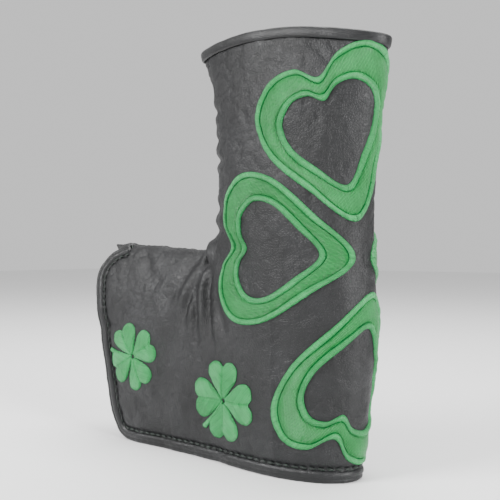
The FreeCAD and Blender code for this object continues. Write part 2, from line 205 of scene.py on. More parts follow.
def relax(verts, faces, fixed, rounds=4):
    for _ in range(rounds):
        total = np.zeros_like(verts)
        count = np.zeros(len(verts))
        for i in range(4):
            for j in (1, 3):
                np.add.at(total, faces[:, i], verts[faces[:, (i + j) % 4]])
                np.add.at(count, faces[:, i], 1)
        mean = total / np.maximum(count, 1)[:, None]
        moved = settle(field, verts + 0.6 * (mean - verts), 1)
        verts = np.where(fixed[:, None], verts, moved)
    return verts


# ------------------------------------------------------------------ regions of the skin
def toe_inside(p):
    # distance inside the toe end's side outline, with its rounded top corner
    x, z = p[..., 0], p[..., 2]
    d1 = (x - toe_line(z)) * 0.975
    d2 = np.maximum(foot_height(x) - z, 0)
    r = TOE_CORNER
    rounded = r - np.hypot(r - np.minimum(d1, r), r - np.minimum(d2, r))
    return np.where((d1 < r) & (d2 < r), np.minimum(rounded, d1), d1)


def edge_inside(p):
    x, z = p[..., 0], p[..., 2]
    over = np.minimum(x + 102, z - (foot_height(x) - 9))
    toe = np.maximum(toe_inside(p) - EDGE, over)
    a, b = toe, z - EDGE
    r = 4.0
    corner = r - np.hypot(r - np.minimum(a, r), r - np.minimum(b, r))
    return np.where((a < r) & (b < r), corner, np.minimum(a, b))


def mouth_height(x):
    # toe corner high, heel corner lower
    t = (x + 25) / 80
    return TOTAL_HEIGHT - 1.0 - np.where(t > 0, 10.0 * t ** 2, 5 * t ** 2)


def under_mouth(p):
    return mouth_height(p[..., 0]) - p[..., 2]


def past_fold(p):
    # positive on the flap's side of the fold plane
    x = p[..., 0] - FOLD_ORIGIN
    return -math.sin(FOLD_ANGLE) * x + math.cos(FOLD_ANGLE) * p[..., 1]


def region(verts, faces, f, gap=0.0):
    # the part of the skin where f is above the gap, with its border moved onto the line
    centre = verts[faces].mean(1)
    keep = f(centre) > gap
    faces = faces[keep]
    used, faces = np.unique(faces, return_inverse=True)
    faces = faces.reshape(-1, 4)
    verts = verts[used].copy()
    edges = np.sort(np.concatenate([faces[:, [i, (i + 1) % 4]] for i in range(4)]), 1)
    pairs, count = np.unique(edges, axis=0, return_counts=True)
    border = np.unique(pairs[count == 1])
    near = border[np.abs(f(verts[border]) - gap) < 1.6 * CELL]
    p = verts[near]
    for _ in range(4):
        g = gradient(f, p)
        p = p - g * ((f(p) - gap) / (np.sum(g * g, -1) + 1e-9))[:, None]
        p = settle(field, p, 1)
    verts[near] = p
    fixed = np.zeros(len(verts), bool)
    fixed[border] = True
    return relax(verts, faces, fixed, 3), faces


# ------------------------------------------------------------------ wrinkles
def smooth_step(t):
    t = np.clip(t, 0, 1)
    return t * t * (3 - 2 * t)


# folds that radiate from the corner between leg and foot, as (x, z) runs on the front
CREASES = [
    (((-43, 101), (-48, 86), (-52, 70), (-52, 58)), 1.5, 2.2),
    (((-42, 101), (-45, 82), (-44, 66), (-43, 50)), 1.4, 2.0),
    (((-41, 98), (-38, 80), (-33, 62), (-29, 50)), 1.5, 2.4),
    (((-38, 94), (-30, 74), (-20, 62), (-8, 56)), 0.9, 3.0),
    (((-46, 100), (-60, 92), (-76, 88)), 0.9, 3.4),
    (((-45, 98), (-62, 82), (-78, 66)), 0.8, 3.6),
    (((-90, 100), (-82, 90), (-66, 84)), 0.6, 3.2),
    (((-112, 60), (-98, 70), (-80, 76)), 0.5, 4.0),
    (((-60, 30), (-78, 22), (-98, 20)), 0.45, 4.0),
    (((-44, 148), (-36, 147), (-24, 143)), 0.8, 1.8),
    (((-44, 156), (-37, 157), (-28, 160)), 0.6, 1.8),
    (((-45, 172), (-36, 171), (-22, 166)), 0.7, 2.0),
    (((-44, 126), (-34, 122), (-20, 123)), 0.7, 2.2),
    (((-43, 112), (-34, 112), (-22, 108)), 0.9, 2.2),
]


def run_distance(x, z, points):
    best = np.full(x.shape, 1e9)
    part = np.zeros(x.shape)
    total = len(points) - 1
    for i, (a, b) in enumerate(zip(points, points[1:])):
        dx, dz = b[0] - a[0], b[1] - a[1]
        t = np.clip(((x - a[0]) * dx + (z - a[1]) * dz) / (dx * dx + dz * dz), 0, 1)
        d = np.hypot(x - a[0] - t * dx, z - a[1] - t * dz)
        nearer = d < best
        best = np.where(nearer, d, best)
        part = np.where(nearer, (i + t) / total, part)
    return best, part


def fractal(points, scale, seed, octaves=3):
    shift = Vector((seed * 13.7, seed * 7.1, seed * 3.3))
    return np.array([noise.fractal(Vector(p) * scale + shift, 1.0, 2.0, octaves) for p in points.tolist()])


def wrinkle(p):
    x, y, z = p.T
    d = np.zeros(len(p))
    for side, gain in ((-1, 1.0), (1, 0.8)):
        on = smooth_step(y * side / 4 - 0.1)
        for run, depth, width in CREASES:
            shifted = run if side < 0 else tuple((px * 0.97 - 1.5, pz - 3.0) for px, pz in run)
            dist, part = run_distance(x, z, shifted)
            fade = smooth_step((1 - part) / 0.6)
            shape = -np.exp(-(dist / width) ** 2)
            shape += 0.55 * np.exp(-((dist - 2.1 * width) / (1.1 * width)) ** 2)
            d += on * gain * depth * fade * shape
    # turned seam along the foot's top and down the leg's toe side
    seam = ((x < -20) & (z < 206)).astype(float)
    pull = 0.55 + 0.25 * np.sin(z * 0.9 + x * 0.7) + 0.2 * np.sin(z * 0.37 + x * 1.3)
    d -= seam * 0.9 * np.exp(-(y / 1.3) ** 2)
    d -= seam * pull * 0.5 * np.exp(-(y / 6.0) ** 2)
    # leather pulled down to the stitch row beside the binding
    e = edge_inside(p)
    d -= 0.75 * np.exp(-((e - 1.7) / 0.9) ** 2)
    d += 0.45 * smooth_step((e - 2) / 4) * (1 - smooth_step((e - 8) / 14))
    # turned edge under the mouth
    m = under_mouth(p)
    d += 0.35 * (1 - smooth_step((m - 3.5) / 1.6)) - 0.25 * np.exp(-((m - 4.8) / 0.8) ** 2)
    # stuffing under the leather and small creases in it
    d += 0.9 * fractal(p * (1, 1, 0.8), 0.035, 1, 2)
    d += 0.28 * fractal(p * (1.3, 1, 0.8), 0.13, 2, 3)
    ridge = 1 - np.abs(fractal(p * (1, 1, 1.5), 0.10, 4, 2)) * 3.2
    d -= 0.35 * np.clip(ridge, 0, 1) ** 3
    return d


def skin_normals(verts):
    g = gradient(field, verts)
    return g / (np.linalg.norm(g, axis=1)[:, None] + 1e-9)


# ------------------------------------------------------------------ meshes
def new_object(name, verts, faces, materials, uv=None):
    mesh = bpy.data.meshes.new(name)
    place = (np.asarray(verts, float) + (LEG_X, LEG_Y, 0)) * 0.001
    mesh.from_pydata(place.tolist(), [], [list(map(int, f)) for f in faces])
    for material in materials:
        mesh.materials.append(material)
    mesh.polygons.foreach_set("use_smooth", [True] * len(mesh.polygons))
    if uv is not None:
        layer = mesh.uv_layers.new(name="UVMap")
        loops = np.zeros(len(mesh.loops), np.int32)
        mesh.loops.foreach_get("vertex_index", loops)
        layer.data.foreach_set("uv", np.asarray(uv, np.float32)[loops].ravel())
    mesh.update()
    obj = bpy.data.objects.new(name, mesh)
    bpy.context.scene.collection.objects.link(obj)
    return obj


def border_loops(faces):
    # ordered border runs, in face order
    edges = {}
    for f in faces.tolist():
        for a, b in zip(f, f[1:] + f[:1]):
            if (b, a) in edges:
                del edges[(b, a)]
            else:
                edges[(a, b)] = True
    follow = {}
    for a, b in edges:
        follow.setdefault(a, []).append(b)
    loops = []
    while follow:
        start = next(iter(follow))
        loop = [start]
        here = start
        while here in follow:
            after = follow[here].pop()
            if not follow[here]:
                del follow[here]
            if after == start:
                break
            loop.append(after)
            here = after
        loops.append(loop)
    return loops


def thick(outer, inner, faces):
    # closed wall between two copies of a skin
    n = len(outer)
    verts = np.concatenate([outer, inner])
    quads = [faces, faces[:, ::-1] + n]
    for loop in border_loops(faces):
        a = np.array(loop)
        b = np.roll(a, -1)
        quads.append(np.stack([b, a, a + n, b + n], 1))
    return verts, np.concatenate(quads)


# ------------------------------------------------------------------ materials
def node_kit(name):
    material = bpy.data.materials.new(name)
    material.use_nodes = True
    tree = material.node_tree
    shader = tree.nodes["Principled BSDF"]

    def add(kind, *links, **values):
        node = tree.nodes.new(kind)
        for key, value in values.items():
            setattr(node, key, value)
        for i, link in enumerate(links):
            if link is None:
                continue
            if isinstance(link, (int, float, tuple)):
                node.inputs[i].default_value = link
            else:
                tree.links.new(link, node.inputs[i])
        return node

    def calc(operation, *links):
        return add("ShaderNodeMath", *links, operation=operation).outputs[0]

    def ramp(value, low, high, a, b):
        node = add("ShaderNodeMapRange", value, low, high, a, b)
        return node.outputs[0]

    def mix(factor, a, b):
        node = add("ShaderNodeMix", data_type="RGBA")
        for socket, link in ((node.inputs[0], factor), (node.inputs[6], a), (node.inputs[7], b)):
            if isinstance(link, (int, float, tuple)):
                socket.default_value = link
            else:
                tree.links.new(link, socket)
        return node.outputs[2]

    def noise_at(vector, scale, detail=3.0, rough=0.5):
        node = add("ShaderNodeTexNoise", vector)
        node.inputs["Scale"].default_value = scale
        node.inputs["Detail"].default_value = detail
        node.inputs["Roughness"].default_value = rough
        return node.outputs[0]

    def bump(height, strength, distance, under=None):
        node = add("ShaderNodeBump")
        node.inputs["Strength"].default_value = strength
        node.inputs["Distance"].default_value = distance
        tree.links.new(height, node.inputs["Height"])
        if under is not None:
            tree.links.new(under, node.inputs["Normal"])
        return node.outputs[0]

    def join(link, socket):
        tree.links.new(link, shader.inputs[socket])

    return material, tree, shader, add, calc, ramp, mix, noise_at, bump, join


def leather(name, dark, pale, rough_low, rough_high, grain=1.0, cell=1.15):
    material, tree, shader, add, calc, ramp, mix, noise_at, bump, join = node_kit(name)
    place = add("ShaderNodeTexCoord").outputs["Object"]
    warped = add("ShaderNodeVectorMath", operation="MULTIPLY_ADD")
    tree.links.new(add("ShaderNodeTexNoise", place).outputs[1], warped.inputs[0])
    warped.inputs[1].default_value = (0.0006, 0.0006, 0.0006)
    tree.links.new(place, warped.inputs[2])
    cells = add("ShaderNodeTexVoronoi", warped.outputs[0], feature="DISTANCE_TO_EDGE")
    cells.inputs["Scale"].default_value = 1000.0 / cell
    pebble = ramp(cells.outputs["Distance"], 0.0, 0.22, 0.0, 1.0)
    fine = noise_at(place, 2600.0, 4.0, 0.6)
    crease = noise_at(place, 420.0, 5.0, 0.62)
    height = calc("ADD", calc("MULTIPLY", pebble, 0.75), calc("MULTIPLY", fine, 0.45))
    height = calc("ADD", height, calc("MULTIPLY", crease, 0.9))
    normal = bump(height, 0.55 * grain, 0.00016)
    large = noise_at(place, 38.0, 3.0)
    # painted shade and highlight: in random patches the colour follows the grain height, darker in the pebble
    # grooves and crease hollows, lighter on the raised tops
    shade_patches = ramp(large, 0.35, 0.7, 0.0, 1.0)
    grain_shade = calc("ADD", calc("MULTIPLY", pebble, 0.45), calc("MULTIPLY", crease, 0.6))
    grain_shade = calc("MULTIPLY", grain_shade, shade_patches)
    join(mix(grain_shade, dark, pale), "Base Color")
    rough = ramp(calc("ADD", calc("MULTIPLY", pebble, -0.35), large), 0.0, 0.8, rough_high, rough_low)
    join(rough, "Roughness")
    join(normal, "Normal")
    shader.inputs["Specular IOR Level"].default_value = 0.36
    shader.inputs["Sheen Weight"].default_value = 0.0
    return material


def thread(name, shaded_groove, mid, bright, pitch, run, sheen=0.5, depth=0.00022):
    # u runs across the threads and v along them, both in millimetres
    material, tree, shader, add, calc, ramp, mix, noise_at, bump, join = node_kit(name)
    uv = add("ShaderNodeTexCoord").outputs["UV"]
    parts = add("ShaderNodeSeparateXYZ", uv)
    u, v = parts.outputs[0], parts.outputs[1]
    half = add("ShaderNodeVectorMath", uv, (0.5, 0.5, 0.5), operation="MULTIPLY")
    wobble = noise_at(half.outputs[0], 1.0, 2.0)
    row_at = calc("DIVIDE", calc("ADD", u, calc("MULTIPLY", wobble, pitch * 0.9)), pitch)
    row = calc("FLOOR", row_at)
    across = calc("SINE", calc("MULTIPLY", calc("FRACT", row_at), math.pi))
    stagger = calc("FRACT", calc("MULTIPLY", row, 0.381))
    along = calc("FRACT", calc("ADD", calc("DIVIDE", v, run), stagger))
    ends = calc("POWER", calc("SINE", calc("MULTIPLY", along, math.pi)), 0.35)
    height = calc("MULTIPLY", across, ramp(ends, 0.0, 1.0, 0.35, 1.0))
    random = add("ShaderNodeTexWhiteNoise", None, row, noise_dimensions="1D")
    tree.links.new(row, random.inputs["W"])
    tint = ramp(random.outputs["Value"], 0.0, 1.0, 0.0, 0.55)
    large = noise_at(add("ShaderNodeTexCoord").outputs["Object"], 90.0, 2.0)
    tint = calc("ADD", calc("MULTIPLY", tint, 0.6), ramp(large, 0.3, 0.7, -0.15, 0.35))
    body = mix(tint, mid, bright)
    # painted shade: the colour darkens to the first colour where the thread height is low, between the rows
    # and at the stitch ends
    join(mix(ramp(height, 0.05, 0.75, 0.0, 1.0), shaded_groove, body), "Base Color")
    join(bump(height, 0.9, depth), "Normal")
    shader.inputs["Roughness"].default_value = 0.42
    shader.inputs["Specular IOR Level"].default_value = 0.45
    shader.inputs["Sheen Weight"].default_value = sheen
    shader.inputs["Sheen Roughness"].default_value = 0.4
    shader.inputs["Sheen Tint"].default_value = (0.35, 1.0, 0.5, 1.0)
    return material


def plain_cloth(name, dark, pale, scale, strength, sheen):
    material, tree, shader, add, calc, ramp, mix, noise_at, bump, join = node_kit(name)
    place = add("ShaderNodeTexCoord").outputs["Object"]
    fuzz = noise_at(place, scale, 5.0, 0.7)
    patch = noise_at(place, scale * 0.06, 3.0)
    join(mix(calc("MULTIPLY", calc("ADD", fuzz, patch), 0.5), dark, pale), "Base Color")
    join(bump(fuzz, strength, 0.0005), "Normal")
    shader.inputs["Roughness"].default_value = 0.92
    shader.inputs["Sheen Weight"].default_value = sheen
    shader.inputs["Sheen Roughness"].default_value = 0.5
    return material


# in random patches the pale colour shows on the raised grain tops and the dark one in the grooves, as painted
# shade
GRAINED = leather("grained_black_leather",
                  (0.0032, 0.0034, 0.0038, 1), (0.016, 0.0165, 0.018, 1), 0.34, 0.56, 1.3)
ROLLED = leather("rolled_black_leather",
                 (0.0035, 0.0037, 0.004, 1), (0.02, 0.0205, 0.022, 1), 0.28, 0.46, 0.8, 0.9)
PLUSH = plain_cloth("black_plush", (0.006, 0.006, 0.007, 1), (0.028, 0.028, 0.03, 1), 900.0, 1.0, 0.5)
TAPE = plain_cloth("closure_tape_cloth",
                   (0.008, 0.008, 0.009, 1), (0.035, 0.035, 0.037, 1), 1500.0, 1.0, 0.3)
# the first colour of each thread is painted shade between its rows and at its stitch ends
FILL = thread("green_fill_thread",
              (0.001, 0.045, 0.010, 1), (0.006, 0.200, 0.036, 1), (0.022, 0.360, 0.082, 1),
              0.55, 4.2, 0.08, 0.0004)
SATIN = thread("green_satin_thread",
               (0.002, 0.060, 0.015, 1), (0.014, 0.310, 0.068, 1), (0.060, 0.560, 0.170, 1),
               0.5, 60.0, 0.1, 0.0004)
SEWING = thread("black_sewing_thread",
                (0.003, 0.003, 0.003, 1), (0.012, 0.012, 0.013, 1), (0.03, 0.03, 0.032, 1),
                0.35, 9.0, 0.1)

# wall depths below the outer face, in millimetres
PANEL_DEPTH = 4.0
FLAP_DEPTH = 2.6
LINING_NEAR, LINING_FAR = 4.1, 5.4
FLAP_LINING_NEAR, FLAP_LINING_FAR = 2.9, 3.6
HEM_COVER = 3.6
LINING_DROP = 5.0
FLAP_GAP = 0.35
FOLD_OVERLAP = 12.0
BACK_Y = 3.0

# ------------------------------------------------------------------ leather skin
net_verts, net_faces = surface_net(field, (-134, -32, -4), (66, 32, 216), CELL)
net_verts = relax(settle(field, net_verts), net_faces, np.zeros(len(net_verts), bool), 3)
skin, skin_faces = region(net_verts, net_faces, edge_inside)
skin, skin_faces = region(skin, skin_faces, under_mouth)


def flap_region(p):
    inside = np.minimum(p[..., 0] - FLAP_EDGE_X, p[..., 2] - FLAP_BOTTOM) - FLAP_GAP
    inside = np.minimum(inside, past_fold(p) + FOLD_OVERLAP)
    return np.minimum(inside, p[..., 1] - BACK_Y)


def rear_region(p):
    return np.minimum(p[..., 1], FLAP_EDGE_X - p[..., 0])


def front_region(p):
    flap = np.minimum(p[..., 0] - FLAP_EDGE_X, p[..., 2] - FLAP_BOTTOM) + FLAP_GAP
    flap = np.minimum(np.minimum(flap, past_fold(p) + FOLD_OVERLAP), p[..., 1] - BACK_Y)
    return -np.maximum(flap, rear_region(p))


def below_hem(p):
    return under_mouth(p) - HEM_COVER


full_normals = skin_normals(skin)
full_skin = skin + full_normals * (wrinkle(skin) * FOLDS)[:, None]
TREE = BVHTree.FromPolygons(full_skin.tolist(), skin_faces.tolist())

leather_base, leather_faces = region(skin, skin_faces, below_hem)


def leather_piece(name, f, depth, nodes):
    verts, faces = region(leather_base, leather_faces, f)
    normals = skin_normals(verts)
    outer = verts + normals * (wrinkle(verts) * FOLDS)[:, None]
    verts, faces = thick(outer, outer - normals * depth, faces)
    obj = new_object(name, verts, faces, [GRAINED])
    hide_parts(*nodes)
    return obj


def bend_at_fold(obj):
    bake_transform(obj)


front_piece = leather_piece("front_leather", front_region, PANEL_DEPTH, ("front_panel", "front_padding"))
rear_piece = leather_piece("rear_leather", rear_region, PANEL_DEPTH, ("rear_panel", "rear_padding"))
flap_piece = leather_piece("flap_leather", flap_region, FLAP_DEPTH, ("flap_panel", "flap_padding"))
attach(front_piece, "root")
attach(rear_piece, "root")
bend_at_fold(flap_piece)

# ------------------------------------------------------------------ lining
coarse, coarse_faces = surface_net(field, (-134, -32, -4), (66, 32, 216), 2.2)
coarse = relax(settle(field, coarse), coarse_faces, np.zeros(len(coarse), bool), 2)
coarse, coarse_faces = region(coarse, coarse_faces, edge_inside)
coarse, coarse_faces = region(coarse, coarse_faces, lambda p: under_mouth(p) - LINING_DROP)


def lining_piece(name, f, near, far, nodes):
    verts, faces = region(coarse, coarse_faces, f)
    normals = skin_normals(verts)
    fuzz = fractal(verts, 0.25, 9, 2)[:, None] * 0.25
    verts = verts + normals * (wrinkle(verts) * FOLDS)[:, None]
    verts, faces = thick(verts - normals * near, verts - normals * (far + fuzz), faces)
    obj = new_object(name, verts, faces, [PLUSH])
    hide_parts(*nodes)
    return obj


for side, covers in (("front", front_region), ("rear", rear_region)):
    plush = lining_piece(side + "_lining_plush", covers, LINING_NEAR, LINING_FAR, [side + "_lining"])
    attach(plush, "root")
plush = lining_piece("flap_lining_plush", flap_region, FLAP_LINING_NEAR, FLAP_LINING_FAR,
                     ["flap_lining"])
bend_at_fold(plush)

# ------------------------------------------------------------------ rolled edges
EDGE_STEP = 1.0
EDGE_SOFTENING = 16


def steady_loop(loop, points, normals):
    # evenly spaced points along a border, softened, with outward and edgewise directions
    ring = points[loop]
    out = normals[loop]
    for _ in range(EDGE_SOFTENING):
        ring = ring * 0.5 + (np.roll(ring, 1, 0) + np.roll(ring, -1, 0)) * 0.25
        out = out * 0.5 + (np.roll(out, 1, 0) + np.roll(out, -1, 0)) * 0.25
    whole = np.concatenate([ring, ring[:1]])
    run = np.concatenate([[0], np.cumsum(np.linalg.norm(np.diff(whole, axis=0), axis=1))])
    count = int(run[-1] / EDGE_STEP)
    at = np.arange(count) * run[-1] / count
    ring = np.stack([np.interp(at, run, whole[:, k]) for k in range(3)], 1)
    whole = np.concatenate([out, out[:1]])
    out = np.stack([np.interp(at, run, whole[:, k]) for k in range(3)], 1)
    along = np.roll(ring, -1, 0) - np.roll(ring, 1, 0)
    along /= np.linalg.norm(along, axis=1)[:, None]
    out -= along * np.sum(out * along, 1)[:, None]
    out /= np.linalg.norm(out, axis=1)[:, None]
    return ring, out, np.cross(along, out), along, at


def sweep(ring, out, side, profile, at, closed=True):
    # profile points are (edgewise, outward) in millimetres
    n, m = len(ring), len(profile)
    shape = np.asarray(profile, float)
    verts = ring[:, None] + side[:, None] * shape[None, :, :1] + out[:, None] * shape[None, :, 1:]
    rows = np.arange(n if closed else n - 1)
    a = rows[:, None] * m + np.arange(m)[None]
    b = rows[:, None] * m + (np.arange(m)[None] + 1) % m
    c = ((rows + 1) % n)[:, None] * m + (np.arange(m)[None] + 1) % m
    d = ((rows + 1) % n)[:, None] * m + np.arange(m)[None]
    faces = np.stack([a, b, c, d], 2).reshape(-1, 4).tolist()
    if not closed:
        faces += [list(range(m))[::-1], [(n - 1) * m + k for k in range(m)]]
    girth = np.concatenate([[0], np.cumsum(np.linalg.norm(np.diff(shape, axis=0), axis=1))])
    uv = np.stack(np.broadcast_arrays(at[:, None], girth[None]), 2).reshape(-1, 2)
    return verts.reshape(-1, 3), faces, uv


def outward(obj):
    mesh = bmesh.new()
    mesh.from_mesh(obj.data)
    bmesh.ops.recalc_face_normals(mesh, faces=mesh.faces)
    mesh.to_mesh(obj.data)
    mesh.free()
    return obj


loops = sorted(border_loops(skin_faces), key=len)[-2:]
loops.sort(key=lambda loop: skin[loop][:, 2].min())
rim_loop, mouth_loop = np.array(loops[0]), np.array(loops[1])

ring, out, side, along, at = steady_loop(rim_loop, full_skin, full_normals)
if np.mean(side[:, 2]) > 0:
    side = -side
ripple = np.sin(at * 1.45) * 0.05 + fractal(ring, 0.12, 21, 2) * 0.18
ring_rim = ring + out * ripple[:, None]
RIM = [(-0.9, -0.9), (-0.5, 0.05), (0.0, 0.75), (0.7, 1.1), (1.6, 1.2), (2.3, 1.0), (2.8, 0.72), (3.3, 0.95),
       (4.1, 0.95), (4.75, 0.4), (5.0, -0.6), (4.95, -2.0), (4.4, -3.2), (2.0, -3.6), (-0.6, -3.2)]
verts, faces, uv = sweep(ring_rim, out, side, RIM, at)
verts[:, 2] = np.maximum(verts[:, 2], 0.02)
rim_piece = outward(new_object("rolled_binding", verts, faces, [ROLLED], uv))
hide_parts("edge_binding")
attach(rim_piece, "root")

# sole and toe strip, spanning from the front half of the rim to the rear half
top_at = int(np.argmax(ring[:, 2] - ring[:, 0] * 0.2))
heel_at = int(np.argmax(ring[:, 0]))
order = np.roll(np.arange(len(ring)), -top_at)
cut = int(np.where(order == heel_at)[0][0])
first, second = order[:cut + 1], np.concatenate([order[cut:], order[:1]])[::-1]


STRIP_ROWS = 220
STRIP_ACROSS = 25
STRIP_OUTER, STRIP_INNER = 4.2, 1.2
STRIP_INSET = 1.6


def resample(indices, lift, count=STRIP_ROWS):
    points = (ring + side * lift - out * STRIP_INSET)[indices]
    run = np.concatenate([[0], np.cumsum(np.linalg.norm(np.diff(points, axis=0), axis=1))])
    steps = np.linspace(0, run[-1], count)
    return np.stack([np.interp(steps, run, points[:, k]) for k in range(3)], 1)


def strip_sheet(lift):
    a, b = resample(first, lift), resample(second, lift)
    t = np.linspace(0, 1, STRIP_ACROSS)[None, :, None]
    return (a[:, None] * (1 - t) + b[:, None] * t).reshape(-1, 3)


cells = np.arange(STRIP_ROWS - 1)[:, None] * STRIP_ACROSS + np.arange(STRIP_ACROSS - 1)[None]
strip_faces = np.stack([cells, cells + 1, cells + STRIP_ACROSS + 1, cells + STRIP_ACROSS], 2).reshape(-1, 4)
low = strip_sheet(STRIP_OUTER)
low += fractal(low, 0.05, 31, 2)[:, None] * np.array((0.0, 0.0, 0.3))
verts, faces = thick(low, strip_sheet(STRIP_INNER), strip_faces)
verts[:, 2] = np.maximum(verts[:, 2], 0.4)
gusset = outward(new_object("sole_and_toe_strip", verts, faces, [GRAINED]))
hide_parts("sole_and_toe_gusset")
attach(gusset, "root")


def capsules(name, centres, directions, ups, half, thick_half, material, nodes):
    rows, sides = 7, 8
    verts, faces, uv = [], [], []
    for c, d, u in zip(centres, directions, ups):
        w = np.cross(d, u)
        base = len(verts)
        for i in range(rows):
            t = -1 + 2 * i / (rows - 1)
            r = thick_half * max(0.12, (1 - t * t)) ** 0.5
            for k in range(sides):
                a = 2 * math.pi * k / sides
                verts.append(c + d * t * half + (u * math.sin(a) + w * math.cos(a)) * r)
                uv.append((k * 0.2, t * half))
        for i in range(rows - 1):
            for k in range(sides):
                j = (k + 1) % sides
                faces.append((base + i * sides + k, base + i * sides + j,
                              base + (i + 1) * sides + j, base + (i + 1) * sides + k))
        faces.append([base + k for k in range(sides)][::-1])
        faces.append([base + (rows - 1) * sides + k for k in range(sides)])
    obj = outward(new_object(name, verts, faces, [material], uv))
    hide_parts(*nodes)
    return obj


STITCH_EVERY = 4
STITCH_HALF, STITCH_RADIUS = 1.45, 0.42
STITCH_BACK, STITCH_LIFT = 1.5, 0.12
pick = np.arange(0, len(ring) - 3, STITCH_EVERY)
slant = along[pick] + side[pick] * 0.12
slant /= np.linalg.norm(slant, axis=1)[:, None]
stitch_centres = (ring - side * STITCH_BACK + out * STITCH_LIFT)[pick]
rim_stitches = capsules("rim_stitches", stitch_centres, slant, out[pick], STITCH_HALF, STITCH_RADIUS,
                        SEWING, ["binding_stitches"])
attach(rim_stitches, "root")

# mouth hem, rolled over the edge with a facing inside
ring, out, side, along, at = steady_loop(mouth_loop, full_skin, full_normals)
if np.mean(side[:, 2]) < 0:
    side = -side
HEM = [(-5.4, -0.3), (-5.2, 0.35), (-4.3, 0.75), (-2.6, 0.85), (-1.0, 0.75), (-0.25, 0.2), (0.05, -1.0),
       (0.1, -2.7), (-0.1, -4.4), (-0.9, -5.7), (-2.5, -6.3),
       (-15, -6.4), (-15, -5.8), (-3.4, -5.6), (-3.3, -0.3)]
on_flap = flap_region(ring - (0, 0, 6.0)) > 0
start = int(np.where(on_flap & ~np.roll(on_flap, 1))[0][0])
order = np.roll(np.arange(len(ring)), -start)
split = int(np.argmin(on_flap[order]))
# the root's hem starts one point early when the flap's last point is on the root side of the fold
back = 1 if past_fold(ring)[order[split - 1]] < 0 else 0
hems = (("flap_rolled_hem", order[:split], "flap_hem"),
        ("mouth_rolled_hem", order[split - back:], "mouth_hem"))
for name, part, node in hems:
    verts, faces, uv = sweep(ring[part], out[part], side[part], HEM, at[part], closed=False)
    hem = outward(new_object(name, verts, faces, [ROLLED], uv))
    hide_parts(node)
    if name.startswith("flap"):
        bend_at_fold(hem)
    else:
        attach(hem, "root")


# ------------------------------------------------------------------ embroidery
def cast(points, directions, lift):
    # seat points on the finished leather
    seated = np.array(points, float)
    for i, (p, d) in enumerate(zip(points, directions)):
        hit, normal, _, _ = TREE.ray_cast(Vector(p + d * CAST_FROM), Vector(-d))
        if hit is not None:
            seated[i] = np.array(hit) + d * lift[i]
    return seated


LEG_WIDTH = 84.6
SIDE_START = -LEG_WIDTH / 8
PETAL_POINTS = 260
CAST_FROM = 25
TURN = np.linspace(0, math.pi, 241)


def on_leg(girth, height, lift):
    # girth runs round the leg from the heel edge, positive over the front
    girth, height = np.asarray(girth, float), np.asarray(height, float)
    points = np.zeros((len(girth), 3))
    directions = np.zeros((len(girth), 3))
    for i, (s, z) in enumerate(zip(girth, height)):
        mid, a, b, n = leg_mid(z), leg_a(z), leg_b(z), leg_n(z)
        c, r = np.cos(TURN), np.sin(TURN)
        x = mid + a * np.sign(c) * np.abs(c) ** (2 / n)
        y = b * np.abs(r) ** (2 / n)
        run = np.concatenate([[0], np.cumsum(np.hypot(np.diff(x), np.diff(y)))])
        px, py = np.interp(abs(s), run, x), np.interp(abs(s), run, y)
        dx = np.sign(px - mid) * (abs(px - mid) / a) ** (n - 1) / a
        dy = (py / b) ** (n - 1) / b
        size = math.hypot(dx, dy)
        front = -1 if s > 0 else 1
        points[i] = (px, py * front, z)
        directions[i] = (dx / size, dy / size * front, 0)
        if px < SIDE_START:
            directions[i] = (0, front, 0)
    return cast(points, directions, np.broadcast_to(lift, girth.shape))


def periodic(points, count):
    # smooth closed curve through a few points
    p = np.asarray(points, float)
    n = len(p)
    out = []
    gaps = np.sqrt(np.linalg.norm(np.roll(p, -1, 0) - p, axis=1))
    share = np.concatenate([[0], np.cumsum(gaps)]) / gaps.sum()
    for t in np.arange(count) / count:
        i = min(int(np.searchsorted(share, t, side="right")) - 1, n - 1)
        u = (t - share[i]) / (share[i + 1] - share[i])
        a, b, c, d = p[i - 1], p[i], p[(i + 1) % n], p[(i + 2) % n]
        ga, gb, gc = gaps[i - 1], gaps[i], gaps[(i + 1) % n]
        mb = (c - b) / gb - (c - a) / (ga + gb) + (b - a) / ga
        mc = (d - c) / gc - (d - b) / (gb + gc) + (c - b) / gb
        mb, mc = mb * gb, mc * gb
        out.append((2 * u ** 3 - 3 * u ** 2 + 1) * b + (u ** 3 - 2 * u ** 2 + u) * mb
                   + (3 * u ** 2 - 2 * u ** 3) * c + (u ** 3 - u ** 2) * mc)
    return np.array(out)


def heart(tip, notch, half_width, count):
    tip, notch = np.asarray(tip, float), np.asarray(notch, float)
    axis = notch - tip
    wide_axis = np.array((-axis[1], axis[0])) / np.linalg.norm(axis) * half_width
    rows = [(0.0, 0.0), (0.30, 0.50), (0.66, 0.94), (0.94, 0.98), (1.12, 0.68), (1.12, 0.30)]
    shape = rows + [(1.0, 0.0)] + [(a, -w) for a, w in reversed(rows[1:])]
    return periodic([tip + axis * a + wide_axis * w for a, w in shape], count)


